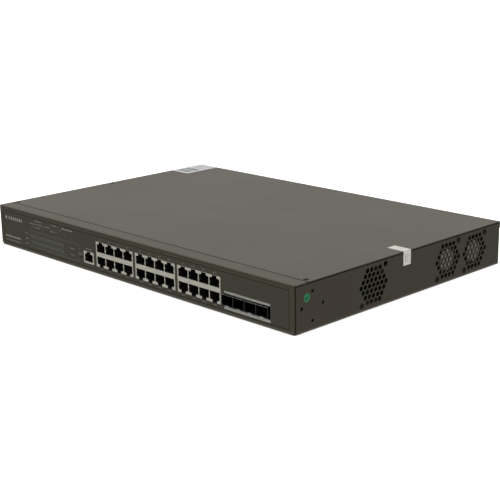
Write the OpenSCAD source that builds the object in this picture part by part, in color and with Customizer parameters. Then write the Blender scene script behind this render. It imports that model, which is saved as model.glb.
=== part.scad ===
// Rack-mounting network switch, one rack unit high: a folded steel case with 24 RJ45 sockets, a console
// socket, four pluggable transceiver cages, status lamps, side fans and a built-in power supply.
// Millimetres. +X is to the right seen from the front, +Y is to the rear, +Z is up. The origin is the
// middle of the underside. Inside case_frame() a point is [from the left wall, from the front face, height].

/* [Case] */
// Width across the side walls
body_w = 440; // [438:0.5:446]
// Depth from the front face to the rear wall
body_d = 292; // [288:1:320]
// Height with the cover on
body_h = 43.6; // [43.4:0.1:44.4]
// Thickness of the steel sheet
sheet = 1; // [0.9:0.05:1]
// Thickness of the front wall
front_t = 1.2; // [1.1:0.1:1.4]
// Depth of the fixed strip along the front of the top
strip_d = 15.6; // [14:0.2:17]
// Outer radius of the fold between the front wall and its strip
fold_r = 1.2; // [0.8:0.1:2]
// Outer radius of the folds at the bottom, the sides and the cover
edge_r = 0.7; // [0.4:0.1:0.8]
// Open seam between the front strip and the cover
seam = 0.8; // [0.3:0.1:1]
// Open seam between the side walls and the cover above them
side_seam = 0.7; // [0.2:0.1:0.8]

/* [Front film] */
// Bare metal left and right of the printed film
film_side = 6; // [5:0.5:8]
// Bare metal below the film
film_bottom = 3.7; // [3:0.1:4]
// Bare metal above the film
film_top = 4.6; // [4:0.1:5]
// Depth of the recess that holds the film
film_recess = 0.4; // [0.3:0.05:0.5]
// Thickness of the film
film_t = 0.3; // [0.2:0.05:0.3]
// Groove left around the film
film_groove = 0.6; // [0.2:0.1:0.8]

/* [RJ45 sockets] */
// Left edge of the first block of sockets, from the left wall
block_u = 170.8; // [170:0.1:170.9]
// Distance from one block to the next
block_pitch = 61.1; // [60.5:0.1:61.1]
// Width of a block with four columns
block_w = 57.5; // [57:0.1:57.7]
// Height of a block with two rows
block_h = 25.3; // [25:0.1:26]
// Depth of a block
block_d = 33; // [28:1:34]
// Distance between columns
port_pitch = 13.97; // [13.7:0.01:14.1]
// Width of the plug opening
port_w = 13.1; // [11.8:0.1:13.2]
// Height of the plug opening below its latch notch
port_h = 7.6; // [7.2:0.1:7.6]
// Depth of the plug opening
port_depth = 14; // [13.5:0.5:16]
// Left edge of the console socket, from the left wall
console_u = 149.9; // [149:0.1:150.5]
// Width of the console socket
console_w = 16.2; // [15.8:0.1:16.4]
// Height of the console socket
console_h = 12.2; // [12:0.1:12.6]

/* [Transceiver cage] */
// Left edge of the cage, from the left wall
cage_u = 350.8; // [350.8:0.1:352]
// Distance between transceiver bays
bay_pitch = 14.25; // [14.1:0.05:14.3]
// Height inside a bay
bay_h = 9.1; // [8.9:0.1:9.2]
// Length of the cage
cage_d = 48; // [46:1:52]

/* [Lamps and reset] */
// Columns of port lamps
lamp_cols = 14; // [10:1:14]
// Distance between lamp columns
lamp_pitch = 4.3; // [4:0.1:4.4]
// First lamp column, from the left wall
lamp_u = 57; // [56:0.5:58]
// Reset pinhole, from the left wall
reset_u = 145; // [144:0.5:145.5]
// Height of the reset pinhole
reset_z = 11.8; // [11.5:0.1:12]
// Travel of the reset button
reset_travel = 0.5; // [0.3:0.1:0.7]

/* [Vents and fans] */
// Diameter of a vent hole
vent_d = 4.7; // [3.5:0.1:4.8]
// Distance between neighbouring vent holes
vent_pitch = 5.6; // [5.5:0.1:5.8]
// Distance from the front to the middle of the empty vent position
vent_v = 100.6; // [98:0.2:104]
// Distance from the front to the middle of the first fan
fan_a_v = 208.6; // [206:0.2:209]
// Distance from the front to the middle of the second fan
fan_b_v = 250.9; // [249:0.2:251]
// Side of the square fan frame
fan_size = 40; // [40:0.1:40.2]
// Thickness of a fan
fan_t = 20; // [18:1:22]
// Distance between fan screws along a side
fan_screw_pitch = 32; // [31.8:0.1:32.2]

/* [Rack ears] */
// Centre of the four rack ear holes, from the front
ear_v = 21.7; // [20:0.1:22]
// Height of that centre
ear_z = 21.5; // [21:0.1:22]
// Diameter of the circle through the four holes
ear_pcd = 26; // [24:0.1:27]
// Diameter of a tapped ear hole
ear_hole_d = 3.3; // [2.5:0.1:3.5]

/* [Cover screws] */
// Distance of the cover screws from the side faces
cover_screw_u = 5.6; // [5.4:0.1:6]
// Front cover screws, from the front
cover_screw_v = 20.1; // [20:0.1:21]
// Middle cover screws, from the front
mid_screw_v = 149; // [140:1:150]

/* [Power supply] */
// Middle of the mains inlet, from the left wall
inlet_u = 60; // [50:1:90]
// Height of the middle of the mains inlet
inlet_z = 20.5; // [20:0.5:22]
// How far the inlet flange stands out of the rear wall
inlet_flange_t = 3; // [3:0.1:3.4]

/* [Hidden] */
$fn = 40;
eps = 0.01;
fit = 0.05;                                // gap of a screw in its hole and of a shaft in its bearing
gap = 0.3;                                 // gap around what comes through the front wall
total_d = body_d + inlet_flange_t;         // everything, with the inlet flange
front_y = -total_d / 2;
cover_z = body_h - sheet;                  // underside of the cover
side_top = cover_z - side_seam;
side_from = front_t + 0.5;                 // a fine seam shows between the front and the side walls
corner_notch = 2;                          // relief notch where the bottom folds meet the side folds
inner_l = sheet;                           // inner faces of the side walls
inner_r = body_w - sheet;
rear_in = body_d - sheet;                  // inner face of the rear wall

board_z = 6.2;                             // underside of the main board
board_t = 1.6;
board_top = board_z + board_t;
board_edge = 4;                            // first edge of the board behind the front face
board_end = 182;
board_side = 16;
pan_flanges = [[36, 78], [124, 180]];      // upright flanges of the pan, clear of the vents
board_screw_u = [28, 160, 290, 412];
board_screw_v = [66, 174];

shield_t = 0.3;
step_w = 10.4;                             // the latch notch narrows in two steps
step_h = 0.5;
notch_w = 6.2;
notch_h = 2;
port_total_h = port_h + step_h + notch_h;
block_top = board_top + block_h;
console_top = board_top + console_h;
console_d = 21;
contact_pitch = 1.02;
contact_w = 0.4;
contact_from = 6;                          // the contacts start this far inside an opening

bay_wall = 0.5;
cage_w = 4 * bay_pitch + bay_wall;
cage_top = board_top + bay_h + 2 * bay_wall;
gasket_u = 355;                            // light strips above and below the cage mouth
gasket_w = 56.9;
gasket_z = 4.9;
gasket_h = 16.9;
gasket_t = 0.4;
gasket_strip_h = 2;
finger_count = 19;

lamp_rows = [12.2, 18.8];
lamp_w = 1.6;
lamp_h = 2.6;
lone_lamps = [[61.5, 29.4], [80.8, 36], [80.8, 32.6], [80.8, 29.3], [94.2, 36.3], [107.6, 36.2],
    [104.4, 29.9], [110.6, 33.1], [118.5, 29.8], [125.5, 19.2], [118.5, 10]];
lone_lamp_d = 1.7;
lamp_face_v = film_recess - film_t;
button_end = 10.5;                         // back of the reset button when it is not pressed

fan_z = 21.7;
fan_bore_r = fan_size / 2 - 1;
fan_hub_r = 12;
hub_label_r = 10;
rotor_r = 18.2;
rotor_hub_r = 11;
shaft_r = 1;
tube_r = 3;
fan_face = 0.4;                            // the hub stands this far back from the wall

psu_z = 7;
psu_u = 22;
psu_v = 192;
psu_w = 164;
psu_d = 94;
psu_top = psu_z + 1.6;

rear_screw_u = [40, body_w / 2, body_w - 40];
rear_screw_z = 39.9;
lip_bottom = 37;
earth_u = 112;
earth_z = 20.5;

label_t = 0.12;                            // thickness of the labels
seal_v = 141.5;                            // the seal is as wide as seal_w and starts here
seal_w = 10.5;
seal_top = 18.7;                           // its length on the cover
seal_drop = 13.5;                          // its length down the wall
sticker_v = 14.8;
sticker_z = 30.1;
sticker_r = 3.8;
label_w = 29.6;
label_d = 49;

paint = [0.27, 0.26, 0.24];
film_colour = [0.22, 0.22, 0.20];
nickel = [0.72, 0.71, 0.65];
black = [0.06, 0.06, 0.06];
gold = [0.85, 0.68, 0.30];
green_board = [0.10, 0.33, 0.18];
aluminium = [0.70, 0.71, 0.72];

// ---------------------------------------------------------------- shared shapes

module case_frame() translate([-body_w / 2, front_y, 0]) children();

module block(from, to) translate(from) cube([to[0] - from[0], to[1] - from[1], to[2] - from[2]]);

// Cylinders that start at a point and run along X or Y
module along_x(p, length, r) translate(p) rotate([0, 90, 0]) cylinder(h = length, r = r);
module along_y(p, length, r) translate(p) rotate([-90, 0, 0]) cylinder(h = length, r = r);

// Mirrors a child made at the left wall, so that there is one at each side
module both_sides() {
    children();
    translate([body_w, 0, 0]) mirror([1, 0, 0]) children();
}

// A quarter round of an outline, as points
function quarter(cx, cy, r, from, n = 6) =
    [for (i = [0 : n]) [cx + r * cos(from + 90 * i / n), cy + r * sin(from + 90 * i / n)]];

// Turns an outline in [depth, height] into a bar along X
module bar_along_x(from, to) translate([from, 0, 0]) rotate([90, 0, 90]) linear_extrude(to - from) children();

// Screw with a cross recess, head up, its seat at height 0
module cross_recess(size, depth) for (a = [0, 90])
    rotate([0, 0, a]) translate([-size / 2, -size / 8, -depth]) cube([size, size / 4, depth + 1]);

module pan_screw(head_r, head_h, shank_r, length) difference() {
    union() {
        cylinder(h = head_h, r1 = head_r, r2 = head_r * 0.82);
        translate([0, 0, -length]) cylinder(h = length + eps, r = shank_r);
    }
    translate([0, 0, head_h]) cross_recess(head_r * 1.1, head_h * 0.6);
}

module flat_screw(head_r, head_h, shank_r, length) difference() {
    union() {
        translate([0, 0, -head_h]) cylinder(h = head_h, r1 = shank_r, r2 = head_r);
        translate([0, 0, -length]) cylinder(h = length - head_h + eps, r = shank_r);
    }
    cross_recess(head_r * 1.1, head_h * 0.7);
}

// Countersunk hole through a sheet whose outer face is at height 0
module countersink(head_r, head_h, hole_r, t) {
    translate([0, 0, -head_h]) cylinder(h = head_h + eps, r1 = hole_r, r2 = head_r + eps);
    translate([0, 0, -t - eps]) cylinder(h = t, r = hole_r);
}

// A smooth curve through a few points, and a round lead swept along it
function curve_point(a, b, c, d, t) =
    0.5 * (2 * b + (c - a) * t + (2 * a - 5 * b + 4 * c - d) * t * t + (3 * b - a - 3 * c + d) * t * t * t);
function smooth(p, n) = let (e = concat([2 * p[0] - p[1]], p, [2 * p[len(p) - 1] - p[len(p) - 2]]))
    concat([for (i = [0 : len(p) - 2]) for (k = [0 : n - 1])
        curve_point(e[i], e[i + 1], e[i + 2], e[i + 3], k / n)], [p[len(p) - 1]]);

module lead(points, r, steps = 5, sides = 8) {
    path = smooth(points, steps);
    last = len(path) - 1;
    rings = [for (i = [0 : last])
        let (t = path[min(i + 1, last)] - path[max(i - 1, 0)],
             s = cross(t, [0, 0, 1]) / norm(cross(t, [0, 0, 1])),
             w = cross(s, t) / norm(cross(s, t)))
        for (k = [0 : sides - 1]) path[i] + r * (s * cos(360 * k / sides) + w * sin(360 * k / sides))];
    walls = [for (i = [0 : last - 1]) for (k = [0 : sides - 1])
        let (m = (k + 1) % sides) [i * sides + k, i * sides + m, (i + 1) * sides + m, (i + 1) * sides + k]];
    ends = [[for (k = [sides - 1 : -1 : 0]) k], [for (k = [0 : sides - 1]) last * sides + k]];
    polyhedron(points = rings, faces = concat([ends[0]], walls, [ends[1]]));
}

// ---------------------------------------------------------------- case

module base_pan() color(paint) case_frame() difference() {
    union() {
        block([inner_l, front_t, 0], [inner_r, rear_in, sheet]);
        for (v = pan_flanges) both_sides() block([inner_l, v[0], sheet - eps], [inner_l + sheet, v[1], 8]);
        block([inner_l + 6, rear_in - sheet, sheet - eps], [inner_r - 6, rear_in, 7]);
    }
    for (u = board_screw_u, v = board_screw_v) translate([u, v, -1]) cylinder(h = 3, r = 1.2);
}

// Outline of a side wall in [depth, height]: it rises beside the strip and is lower under the cover
module side_outline() polygon([[side_from + corner_notch, 0], [body_d, 0], [body_d, side_top],
    [strip_d, side_top], [strip_d, body_h], [side_from, body_h], [side_from, corner_notch]]);

// Centres of one group of vent holes: rows of 4, 5, 6, 7, 6, 5 and 4 around [0, 0]
vent_points = [for (row = [-3 : 3]) for (i = [0 : 6 - abs(row)])
    [(i - (6 - abs(row)) / 2) * vent_pitch, row * vent_pitch * sqrt(3) / 2]];

module vent_holes(vents) for (v = vents, p = vent_points)
    translate([v + p[0], fan_z + p[1]]) circle(d = vent_d);

module ear_holes() for (a = [0 : 90 : 270])
    translate([ear_v + ear_pcd / 2 * cos(a), ear_z + ear_pcd / 2 * sin(a)]) circle(d = ear_hole_d);

// Side walls have a small fold radius along their outer top and bottom edges
module side_profile(top) polygon(concat([[sheet, 0], [sheet, top]],
    quarter(edge_r, top - edge_r, edge_r, 90), quarter(edge_r, edge_r, edge_r, 180)));

module side_blank() intersection() {
    rotate([90, 0, 90]) linear_extrude(sheet) difference() {
        side_outline();
        vent_holes([vent_v, fan_a_v, fan_b_v]);
        ear_holes();
    }
    union() {
        rotate([90, 0, 0]) translate([0, 0, -strip_d]) linear_extrude(strip_d) side_profile(body_h);
        rotate([90, 0, 0]) translate([0, 0, -body_d]) linear_extrude(body_d - strip_d) side_profile(side_top);
    }
}

module side_wall_left() color(paint) case_frame() side_blank();

// The two screw holes on a diagonal of a fan position
module fan_diagonal(v) for (s = [-1, 1])
    translate([0, v + s * fan_screw_pitch / 2, fan_z + s * fan_screw_pitch / 2]) children();

module side_wall_right() color(paint) case_frame() difference() {
    translate([body_w, 0, 0]) mirror([1, 0, 0]) side_blank();
    fan_diagonal(vent_v) along_x([inner_r - 1, 0, 0], sheet + 2, 2.6);
    for (v = [fan_a_v, fan_b_v]) fan_diagonal(v)
        translate([body_w, 0, 0]) rotate([0, 90, 0]) countersink(3.4, 0.8, 2.3, sheet);
}

module front_profile() polygon(concat([[front_t, 0]], [[front_t, body_h - sheet], [strip_d, body_h - sheet],
    [strip_d, body_h]], quarter(fold_r, body_h - fold_r, fold_r, 90), quarter(edge_r, edge_r, edge_r, 180)));

module front_plan() polygon(concat([[inner_r, strip_d], [inner_l, strip_d], [inner_l, front_t], [0, front_t]],
    quarter(edge_r, edge_r, edge_r, 180), quarter(body_w - edge_r, edge_r, edge_r, 270),
    [[body_w, front_t], [inner_r, front_t]]));

// Everything that comes through the front wall and its film, each hole wider by extra
module front_holes(extra) {
    depth = front_t + 2;
    for (i = [0 : 2])
        block([block_u + i * block_pitch - extra, -1, board_top - extra],
              [block_u + i * block_pitch + block_w + extra, depth, block_top + extra]);
    block([console_u - extra, -1, board_top - extra],
          [console_u + console_w + extra, depth, console_top + extra]);
    block([cage_u - eps, -1, board_top - extra], [gasket_u, depth, cage_top + extra]);
    block([gasket_u - extra, -1, gasket_z - extra],
          [gasket_u + gasket_w + extra, depth, gasket_z + gasket_h + extra]);
    for (c = [0 : lamp_cols - 1], z = lamp_rows)
        block([lamp_u + c * lamp_pitch - lamp_w / 2 - fit, -1, z - lamp_h / 2 - fit],
              [lamp_u + c * lamp_pitch + lamp_w / 2 + fit, depth, z + lamp_h / 2 + fit]);
    for (p = lone_lamps) along_y([p[0], -1, p[1]], depth + 1, lone_lamp_d / 2 + fit);
    along_y([reset_u, -1, reset_z], depth + 1, 1.25);
}

module front_wall() color(paint) case_frame() difference() {
    intersection() {
        bar_along_x(0, body_w) front_profile();
        linear_extrude(body_h) front_plan();
    }
    block([film_side, -1, film_bottom], [body_w - film_side, film_recess, body_h - film_top]);
    front_holes(gap);
    both_sides() block([-1, -1, -1], [corner_notch, front_t + 1, corner_notch]);
}

module rear_wall() color(paint) case_frame() difference() {
    union() {
        block([inner_l, rear_in, 0], [inner_r, body_d, cover_z]);
        along_y([earth_u, rear_in - 3, earth_z], 3 + eps, 4);
    }
    block([inlet_u - 13.6, rear_in - 1, inlet_z - 10], [inlet_u + 13.6, body_d + 1, inlet_z + 10]);
    for (u = rear_screw_u) along_y([u, rear_in - 1, rear_screw_z], 4, 1.25);
    along_y([earth_u, rear_in - 4, earth_z], 8, 1.65);
}

module cover_profile() polygon(concat([[strip_d + seam, cover_z], [strip_d + seam, body_h]],
    [for (i = [6 : -1 : 0]) [body_d + sheet - 1.2 + 1.2 * cos(15 * i), body_h - 1.2 + 1.2 * sin(15 * i)]],
    [[body_d + sheet, lip_bottom], [body_d, lip_bottom], [body_d, cover_z]]));

module cover_section() translate([0, cover_z]) polygon(concat([[0, sheet - edge_r], [0, lip_bottom - cover_z],
    [body_w, lip_bottom - cover_z]], quarter(body_w - edge_r, sheet - edge_r, edge_r, 0),
    quarter(edge_r, sheet - edge_r, edge_r, 90)));

module each_cover_screw() for (v = [cover_screw_v, mid_screw_v])
    both_sides() translate([cover_screw_u, v, 0]) children();

module top_cover() color(paint) case_frame() difference() {
    intersection() {
        bar_along_x(0, body_w) cover_profile();
        translate([0, total_d, 0]) rotate([90, 0, 0]) linear_extrude(total_d) cover_section();
    }
    each_cover_screw() translate([0, 0, body_h]) countersink(2.95, 0.9, 1.6, sheet);
    for (u = rear_screw_u) along_y([u, body_d - 0.5, rear_screw_z], 3, 1.6);
}

// Bent tabs under the cover, each with a tapped bush for a cover screw
module cover_brackets() color(aluminium) case_frame() each_cover_screw() difference() {
    union() {
        block([inner_l - cover_screw_u, -8, cover_z - sheet], [6.5, 8, cover_z]);
        block([inner_l - cover_screw_u, -8, cover_z - 4],
              [inner_l - cover_screw_u + sheet, 8, cover_z - sheet]);
        translate([0, 0, cover_z - 4]) cylinder(h = 4, r = 2.8);
    }
    translate([0, 0, cover_z - 5]) cylinder(h = 6, r = 1.3);
}

module front_film() color(film_colour) case_frame() difference() {
    block([film_side + film_groove, lamp_face_v, film_bottom + film_groove],
          [body_w - film_side - film_groove, film_recess, body_h - film_top - film_groove]);
    front_holes(gap);
}

// ---------------------------------------------------------------- RJ45 sockets

// Plug opening with its latch notch up, [0, 0] in the middle of its floor. over makes the notch higher.
module port_outline(over) polygon([[-port_w / 2, 0], [port_w / 2, 0], [port_w / 2, port_h],
    [step_w / 2, port_h], [step_w / 2, port_h + step_h], [notch_w / 2, port_h + step_h],
    [notch_w / 2, port_total_h + over], [-notch_w / 2, port_total_h + over],
    [-notch_w / 2, port_h + step_h], [-step_w / 2, port_h + step_h], [-step_w / 2, port_h],
    [-port_w / 2, port_h]]);

module port_void(from, to, over = 0)
    translate([0, to, 0]) rotate([90, 0, 0]) linear_extrude(to - from) port_outline(over);

// Cuts an opening through the front of a shield, where the notch is open to the edge
module shield_cut() port_void(-1, shield_t + eps, shield_t + 1);

// Places a child at each opening of a block; the lower row is upside down
module each_port(i) for (c = [0 : 3]) translate([block_u + i * block_pitch + block_w / 2
        + (c - 1.5) * port_pitch, 0, 0]) {
    translate([0, 0, block_top - shield_t - port_total_h]) children();
    translate([0, 0, board_top + shield_t + port_total_h]) mirror([0, 0, 1]) children();
}

module console_port()
    translate([console_u + console_w / 2, 0, console_top - shield_t - port_total_h]) children();

// Small springs of the shield that touch the shell of a plug, on both sides of an opening
module shield_springs() for (side = [0, 1]) mirror([side, 0, 0]) {
    block([port_w / 2 - 0.25, 0, 2.6], [port_w / 2, 3, 3.8]);
    block([port_w / 2 - 0.25, 0, 2.6], [port_w / 2 + 0.2, shield_t, 3.8]);
}

module shield_shell(u, w, h, d) difference() {
    block([u, 0, board_top], [u + w, d, board_top + h]);
    block([u + shield_t, shield_t, board_top - 1],
          [u + w - shield_t, d - shield_t, board_top + h - shield_t]);
}

module rj45_shield(i) color(nickel) case_frame() {
    difference() {
        shield_shell(block_u + i * block_pitch, block_w, block_h, block_d);
        each_port(i) shield_cut();
    }
    each_port(i) shield_springs();
}

module rj45_housing(i) color(black) case_frame() difference() {
    block([block_u + i * block_pitch + shield_t, shield_t, board_top],
          [block_u + i * block_pitch + block_w - shield_t, block_d - shield_t, block_top - shield_t]);
    each_port(i) port_void(0, port_depth);
}

// Spring contacts rise from the floor of an opening to its rear wall
module port_contacts() for (k = [0 : 7])
    translate([(k - 3.5) * contact_pitch - contact_w / 2, 0, 0]) rotate([90, 0, 90]) linear_extrude(contact_w)
        polygon([[contact_from, 0], [contact_from + 1, 0], [11, 1], [port_depth, 1],
                 [port_depth, 1.35], [10.9, 1.35], [contact_from, 0.25]]);

module rj45_contacts() color(gold) case_frame() {
    for (i = [0 : 2]) each_port(i) port_contacts();
    console_port() port_contacts();
}

module console_shield() color(nickel) case_frame() {
    difference() {
        shield_shell(console_u, console_w, console_h, console_d);
        console_port() shield_cut();
    }
    console_port() shield_springs();
}

module console_housing() color(black) case_frame() difference() {
    block([console_u + shield_t, shield_t, board_top],
          [console_u + console_w - shield_t, console_d - shield_t, console_top - shield_t]);
    console_port() port_void(0, port_depth);
}

// ---------------------------------------------------------------- transceiver cage

module sfp_cage() color(nickel) case_frame() difference() {
    block([cage_u, gasket_t + fit, board_top], [cage_u + cage_w, cage_d, cage_top]);
    for (i = [0 : 3])
        block([cage_u + bay_wall + i * bay_pitch, -1, board_top + bay_wall],
              [cage_u + (i + 1) * bay_pitch, cage_d - bay_wall, cage_top - bay_wall]);
}

// Strips above and below the cage mouth, joined at the right, with spring fingers on the cage.
// The lower strip has a raised latch tab under the middle of each bay.
module sfp_gasket() color(nickel) case_frame() {
    top = gasket_z + gasket_h;
    right = gasket_u + gasket_w;
    latch_w = 4;
    finger_pitch = (cage_u + cage_w - gasket_u - 2) / (finger_count - 1);
    block([gasket_u, 0, top - gasket_strip_h], [right, gasket_t, top]);
    block([gasket_u, gasket_t, top - gasket_t], [right, 3.4, top]);
    block([gasket_u, 0, gasket_z], [right, gasket_t, board_top - 0.3]);
    for (i = [0 : 3]) translate([cage_u + (i + 0.5) * bay_pitch + bay_wall, 0, 0])
        block([-latch_w / 2, 0, gasket_z + 1], [latch_w / 2, gasket_t, board_top + bay_wall]);
    block([right - gasket_t, gasket_t - eps, gasket_z], [right, 3.4, top]);
    block([gasket_u, 3, cage_top], [cage_u + cage_w, 3.4, top]);
    for (i = [0 : finger_count - 1]) translate([gasket_u + i * finger_pitch, 0, 0]) bar_along_x(0, 1.7)
        polygon([[0.1, top - gasket_strip_h], [0.4, top - gasket_strip_h], [3.1, cage_top + 0.4],
                 [3.1, cage_top], [2.6, cage_top]]);
}

module sfp_connectors() color(black) case_frame() for (i = [0 : 3]) difference() {
    block([cage_u + bay_wall + i * bay_pitch + 1, 37, board_top + bay_wall],
          [cage_u + (i + 1) * bay_pitch - 1, 46, board_top + bay_wall + 6.2]);
    block([cage_u + bay_wall + i * bay_pitch + 2, 36, board_top + 3],
          [cage_u + (i + 1) * bay_pitch - 2, 42, board_top + 4.6]);
}

// ---------------------------------------------------------------- lamps and reset button

// One clear moulding: a plate behind the wall with a rod to every window
module light_pipes() color([0.85, 0.88, 0.85, 0.6]) case_frame() {
    block([lamp_u - 3, 5, 9], [130, 7, 38]);
    for (c = [0 : lamp_cols - 1], z = lamp_rows)
        block([lamp_u + c * lamp_pitch - lamp_w / 2, lamp_face_v, z - lamp_h / 2],
              [lamp_u + c * lamp_pitch + lamp_w / 2, 5 + eps, z + lamp_h / 2]);
    for (p = lone_lamps) along_y([p[0], lamp_face_v, p[1]], 5, lone_lamp_d / 2);
}

module lamp_board() color(green_board) case_frame() block([lamp_u - 3, 9, board_top], [130, 10.6, 38]);

module lamps() color([0.92, 0.92, 0.80]) case_frame() {
    for (c = [0 : lamp_cols - 1], z = lamp_rows)
        block([lamp_u + c * lamp_pitch - 0.8, 8.2, z - 0.5], [lamp_u + c * lamp_pitch + 0.8, 9, z + 0.5]);
    for (p = lone_lamps) block([p[0] - 0.8, 8.2, p[1] - 0.5], [p[0] + 0.8, 9, p[1] + 0.5]);
}

module reset_switch() color(black) case_frame() difference() {
    block([reset_u - 3.1, 8, board_top], [reset_u + 3.1, button_end + reset_travel + 1, reset_z + 3.2]);
    along_y([reset_u, 7, reset_z], button_end + reset_travel + 0.2 - 7, 1.8);
}

module reset_button() color([0.62, 0.12, 0.10]) case_frame() difference() {
    union() {
        along_y([reset_u, 6, reset_z], button_end - 6, 1.75);
        along_y([reset_u, 4.5, reset_z], 2, 1.2);
    }
    along_y([reset_u, 4, reset_z], 0.8, 0.6);
}

// ---------------------------------------------------------------- main board

module each_board_screw() for (u = board_screw_u, v = board_screw_v) translate([u, v, 0]) children();

module main_board() color(green_board) case_frame() difference() {
    block([board_side, board_edge, board_z], [body_w - board_side, board_end, board_top]);
    each_board_screw() translate([0, 0, board_z - 1]) cylinder(h = 4, r = 1.7);
}

module board_standoffs() color(aluminium) case_frame() {
    each_board_screw() translate([0, 0, sheet]) difference() {
        cylinder(h = board_z - sheet, r = 3);
        translate([0, 0, -1]) cylinder(h = 8, r = 1.3);
    }
    each_psu_screw() translate([0, 0, sheet]) difference() {
        cylinder(h = psu_z - sheet, r = 3);
        translate([0, 0, -0.5]) cylinder(h = 9, r = 1.3);
    }
}

module board_screws() color(aluminium) case_frame() {
    each_board_screw() translate([0, 0, board_top]) pan_screw(2.8, 1.8, 1.25, 5.5);
    each_psu_screw() translate([0, 0, psu_top]) pan_screw(2.8, 1.8, 1.25, 5.5);
}

module switch_chip() color(black) case_frame() {
    block([232, 92, board_top], [268, 128, board_top + 1.2]);
    block([235, 95, board_top + 1.2], [265, 125, board_top + 2.6]);
}

module port_chips() color(black) case_frame() for (i = [0 : 2])
    translate([block_u + i * block_pitch, 0, board_top]) block([19, 42, 0], [39, 62, 1.6]);

module memory_chips() color(black) case_frame() {
    block([88, 78, board_top], [112, 102, board_top + 1.8]);
    for (v = [74, 90]) block([124, v, board_top], [137, v + 9, board_top + 1.1]);
    block([92, 120, board_top], [106, 132, board_top + 1.1]);
}

// Finned block with fins along Y
module heat_sink(from, to, base_h, fins, fin_t) {
    pitch = (to[0] - from[0] - fin_t) / (fins - 1);
    block(from, [to[0], to[1], from[2] + base_h]);
    for (i = [0 : fins - 1]) block([from[0] + i * pitch, from[1], from[2] + base_h - eps],
        [from[0] + i * pitch + fin_t, to[1], to[2]]);
}

module switch_heat_sink() color(aluminium) case_frame()
    heat_sink([216, 82, board_top + 2.6], [284, 138, 30], 3, 15, 1.2);

module port_heat_sinks() color(aluminium) case_frame() for (i = [0 : 2])
    heat_sink([block_u + i * block_pitch + 16, 40, board_top + 1.6], [block_u + i * block_pitch + 42, 64, 20],
              2, 8, 1);

module can_capacitor(r, h) {
    cylinder(h = h - 0.6, r = r);
    translate([0, 0, h - 0.6 - eps]) cylinder(h = 0.6, r1 = r, r2 = r - 0.6);
}

module board_capacitors() color([0.16, 0.17, 0.24]) case_frame() {
    for (u = [44, 56, 68], v = [136, 150]) translate([u, v, board_top]) can_capacitor(4, 11.5);
    for (u = [320, 334, 348]) translate([u, 150, board_top]) can_capacitor(3.2, 8);
}

module board_inductors() color([0.30, 0.30, 0.31]) case_frame()
    for (u = [310, 328, 346, 364]) block([u, 116, board_top], [u + 11, 127, board_top + 5.4]);

module board_headers() color([0.90, 0.89, 0.82]) case_frame() {
    difference() {
        block([136, 160, board_top], [152, 169.5, board_top + 10]);
        block([137, 161, board_top + 3], [151, 168.5, board_top + 11]);
    }
    for (u = [384, 396]) difference() {
        block([u, 166, board_top], [u + 8, 172, board_top + 6]);
        block([u + 1, 167, board_top + 2], [u + 7, 171, board_top + 7]);
    }
}

// ---------------------------------------------------------------- power supply

module each_psu_screw() for (u = [psu_u + 5, psu_u + psu_w - 5], v = [psu_v + 5, psu_v + psu_d - 5])
    translate([u, v, 0]) children();

module psu_board() color([0.62, 0.50, 0.28]) case_frame() difference() {
    block([psu_u, psu_v, psu_z], [psu_u + psu_w, psu_v + psu_d, psu_top]);
    each_psu_screw() translate([0, 0, psu_z - 1]) cylinder(h = 4, r = 1.7);
}

module psu_insulator() color([0.86, 0.86, 0.80]) case_frame() difference() {
    block([psu_u - 3, psu_v - 1, sheet], [psu_u + psu_w + 3, psu_v + psu_d + 2, sheet + 0.4]);
    each_psu_screw() cylinder(h = 4, r = 3.3);
}

// Ferrite core around a wound and taped bobbin
module psu_transformer() color([0.82, 0.66, 0.22]) case_frame() translate([118, 226, psu_top]) {
    difference() {
        block([-18, -15, 3], [18, 15, 27]);
        block([-13, -16, 7], [13, 16, 23]);
    }
    block([-12.9, -18, 7.1], [12.9, 18, 22.9]);
    block([-17, -20, 0], [17, 20, 3]);
}

module psu_capacitors() color([0.13, 0.15, 0.30]) case_frame() {
    for (u = [66, 88]) translate([u, 232, psu_top]) can_capacitor(9, 28);
    for (u = [150, 162, 174]) translate([u, 208, psu_top]) can_capacitor(5, 20);
}

module psu_heat_sinks() color(aluminium) case_frame() {
    for (v = [198, 254]) block([96, v, psu_top], [140, v + 3, psu_top + 26]);
    block([144, 234, psu_top], [147, 272, psu_top + 26]);
}

module psu_choke() color([0.72, 0.40, 0.16]) case_frame()
    translate([38, 222, psu_top + 11]) rotate([90, 0, 0])
        rotate_extrude() translate([7.2, 0]) circle(r = 3.8);

// Outline of the inlet in [across, height], with its two upper corners cut off
module inlet_outline(w, h, corner) polygon([[-w / 2, -h / 2], [w / 2, -h / 2], [w / 2, h / 2 - corner],
    [w / 2 - corner, h / 2], [-w / 2 + corner, h / 2], [-w / 2, h / 2 - corner]]);

module inlet_bar(from, to, w, h, corner) translate([0, to, 0]) rotate([90, 0, 0]) linear_extrude(to - from)
    inlet_outline(w, h, corner);

inlet_back = body_d - 16;

module each_pin() for (p = [[-7, -1.5], [7, -1.5], [0, 2.5]]) translate([p[0], 0, p[1]]) children();

module mains_inlet() color(black) case_frame() translate([inlet_u, 0, inlet_z]) difference() {
    union() {
        inlet_bar(inlet_back, body_d + eps, 27, 19.8, 4.5);
        inlet_bar(body_d, total_d, 31.4, 24.6, 3);
    }
    inlet_bar(inlet_back + 3, total_d + 1, 24, 16.5, 4);
    each_pin() block([-1, inlet_back - 1, -2], [1, inlet_back + 4, 2]);
}

module inlet_pins() color(nickel) case_frame() translate([inlet_u, 0, inlet_z])
    each_pin() block([-1, inlet_back - 6, -2], [1, total_d - 3.5, 2]);

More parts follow.
